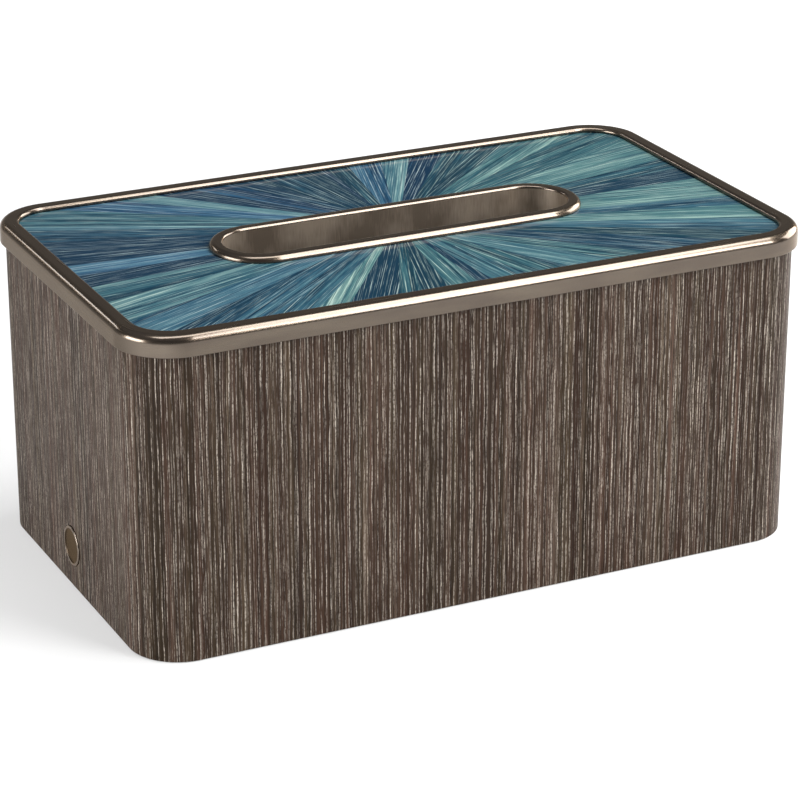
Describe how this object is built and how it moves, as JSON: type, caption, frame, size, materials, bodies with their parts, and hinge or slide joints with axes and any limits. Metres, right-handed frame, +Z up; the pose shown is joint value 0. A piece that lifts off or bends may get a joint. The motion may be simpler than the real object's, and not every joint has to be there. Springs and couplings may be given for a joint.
{
  "type": "tissue box",
  "caption": "Rectangular veneered tissue box with rounded corners and a lift-off, metal-framed straw marquetry lid with a dispensing slot.",
  "frame": {"origin": "middle of the foot of the box, on the surface that it stands on", "axes": "+X along the length, away from the end that carries the badge; +Y away from the long front; +Z up"},
  "size_m": [0.266, 0.154, 0.122],
  "materials": {
    "oak_veneer": "stained and limed open-grain oak veneer, satin lacquer",
    "birch_core": "sanded plywood, unfinished",
    "stained_lipping": "stained solid oak, satin lacquer",
    "microfibre": "brushed microfibre suede",
    "felt": "pressed felt",
    "zinc_steel": "zinc-plated",
    "bronzed_metal": "satin bronzed nickel plate on brass",
    "straw_deep": "dyed straw under gloss lacquer",
    "straw_teal": "dyed straw under gloss lacquer",
    "straw_sea": "dyed straw under gloss lacquer",
    "straw_pale": "dyed straw under gloss lacquer"
  },
  "bodies": {
    "box": {"front_panel": "birch_core", "back_panel": "birch_core", "left_panel": "birch_core", "right_panel": "birch_core", "corner_posts": "birch_core", "corner_splines": "birch_core", "outer_veneer": "oak_veneer", "top_lipping": "stained_lipping", "wall_lining": "microfibre", "base_board": "birch_core", "base_screws": "zinc_steel", "floor_lining": "microfibre", "base_felt": "felt", "badge_disc": "bronzed_metal"},
    "lid": {"lid_frame": "bronzed_metal", "panel_board": "birch_core", "rays_deep": "straw_deep", "rays_teal": "straw_teal", "rays_sea": "straw_sea", "rays_pale": "straw_pale", "locating_board": "birch_core", "board_screws": "zinc_steel", "lid_lining": "microfibre", "slot_collar": "bronzed_metal", "collar_ring": "bronzed_metal", "ring_screws": "zinc_steel", "seat_pads": "felt"}
  },
  "joints": [
    {"name": "lid_lift", "type": "slide", "parent": "box", "child": "lid", "axis": [0, 0, 1], "range_m": [0, 0.12]}
  ]
}
